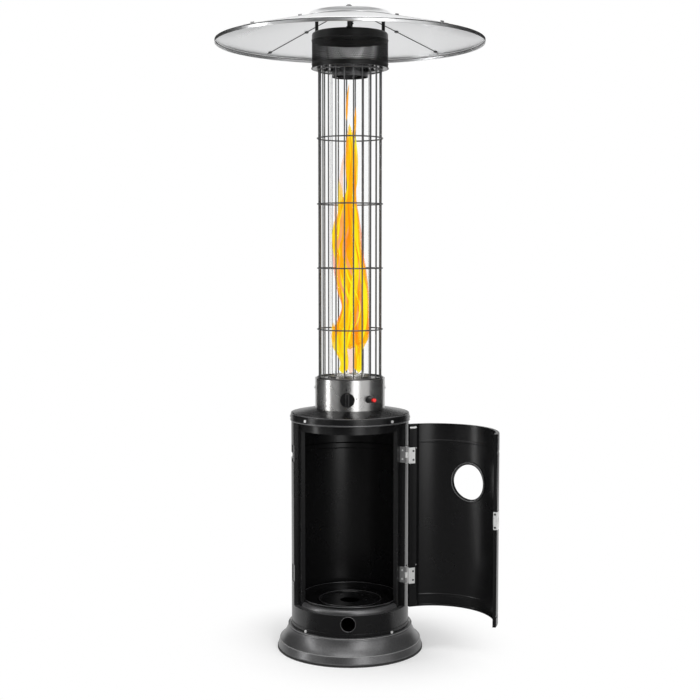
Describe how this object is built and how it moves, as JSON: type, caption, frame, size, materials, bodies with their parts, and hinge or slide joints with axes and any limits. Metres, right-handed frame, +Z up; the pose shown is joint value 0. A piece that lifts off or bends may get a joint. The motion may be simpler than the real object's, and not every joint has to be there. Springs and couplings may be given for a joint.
{
  "type": "gas patio heater",
  "caption": "Tall gas patio heater: round bottle cabinet with a curved door, stainless burner drum, glass flame tube in a wire cage, vented head and wide shallow reflector.",
  "frame": {"origin": "on the floor, under the middle of the round base", "axes": "+Z up the heater's middle line, the door opening and the controls face -Y, +X to the right seen from the front"},
  "size_m": [0.8183, 0.786, 1.8824],
  "materials": {
    "black_base_coat": "satin powder coat over pressed steel",
    "black_cabinet_coat": "semi-gloss powder coat",
    "black_heatproof_coat": "matt heatproof coat",
    "brushed_stainless": "brushed round the drum",
    "cage_steel": "dark satin coat on round wire",
    "bright_zinc": "bright zinc plate",
    "reflector_aluminium": "mill bright sheet",
    "clear_borosilicate": "clear drawn tube",
    "gasket_fibre": "woven glass fibre",
    "yellow_brass": "turned",
    "knob_plastic": "gloss black phenolic",
    "button_plastic": "gloss red",
    "barrel_plastic": "satin black",
    "white_ceramic": "glazed",
    "magnet_ferrite": "sintered ferrite in a black case",
    "black_rubber": "moulded edge strip"
  },
  "bodies": {
    "heater": {"base_edge_trim": "black_rubber", "base_skirt": "black_base_coat", "ballast_plate": "black_base_coat", "cabinet_shell": "black_cabinet_coat", "tray_support": "black_cabinet_coat", "bottle_tray": "black_cabinet_coat", "post_right": "black_cabinet_coat", "post_left": "black_cabinet_coat", "upper_rail": "black_cabinet_coat", "top_cover": "black_cabinet_coat", "casing_screws": "bright_zinc", "hinge_post_leaves": "bright_zinc", "hinge_pins": "bright_zinc", "hinge_post_screws": "bright_zinc", "burner_housing": "brushed_stainless", "housing_top_plate": "brushed_stainless", "glass_seat": "brushed_stainless", "tube_gasket": "gasket_fibre", "glass_tube": "clear_borosilicate", "cage_wires": "cage_steel", "cage_rings": "cage_steel", "burner_cup": "brushed_stainless", "burner_disc": "brushed_stainless", "gas_jet": "yellow_brass", "feed_pipe": "yellow_brass", "spark_electrode": "white_ceramic", "flame_probe": "bright_zinc", "gas_valve": "yellow_brass", "gas_inlet": "yellow_brass", "igniter_body": "barrel_plastic", "igniter_nut": "barrel_plastic", "tilt_switch": "barrel_plastic", "head_bottom_plate": "black_heatproof_coat", "tube_collar": "brushed_stainless", "tube_clips": "black_heatproof_coat", "clip_screws": "black_heatproof_coat", "head_lower_band": "black_heatproof_coat", "head_grille": "black_heatproof_coat", "head_shoulder": "black_heatproof_coat", "head_posts": "black_heatproof_coat", "reflector_front": "reflector_aluminium", "reflector_right": "reflector_aluminium", "reflector_back": "reflector_aluminium", "reflector_left": "reflector_aluminium", "reflector_bolts": "bright_zinc", "reflector_nuts": "bright_zinc", "reflector_cap": "reflector_aluminium"},
    "door": {"door_skin": "black_cabinet_coat", "door_hinge_channel": "black_cabinet_coat", "door_free_channel": "black_cabinet_coat", "door_window_rim": "black_cabinet_coat", "pull_plate": "bright_zinc", "pull_screws": "bright_zinc", "catch_magnet": "magnet_ferrite", "hinge_door_leaves": "bright_zinc", "hinge_door_screws": "bright_zinc"},
    "valve_plunger": {"valve_collar": "yellow_brass"},
    "control_knob": {"control_knob": "knob_plastic", "valve_spindle": "yellow_brass"},
    "igniter_button": {"igniter_button": "button_plastic"}
  },
  "joints": [
    {"name": "door_hinge", "type": "hinge", "parent": "heater", "child": "door", "pos_m": [0.16712, -0.06549, 0.412], "axis": [0, 0, 1], "range_deg": [-139, 31]},
    {"name": "valve_push", "type": "slide", "parent": "heater", "child": "valve_plunger", "axis": [0.0349, 0.9994, 0], "range_m": [0, 0.003], "stiffness_N_per_m": 800, "springref_m": -0.003},
    {"name": "knob_turn", "type": "hinge", "parent": "valve_plunger", "child": "control_knob", "pos_m": [-0.00377, -0.10803, 0.756], "axis": [-0.0349, -0.9994, 0], "range_deg": [0, 180]},
    {"name": "igniter_push", "type": "slide", "parent": "heater", "child": "igniter_button", "axis": [-0.5519, 0.8339, 0], "range_m": [0, 0.006], "stiffness_N_per_m": 700, "springref_m": -0.003}
  ]
}
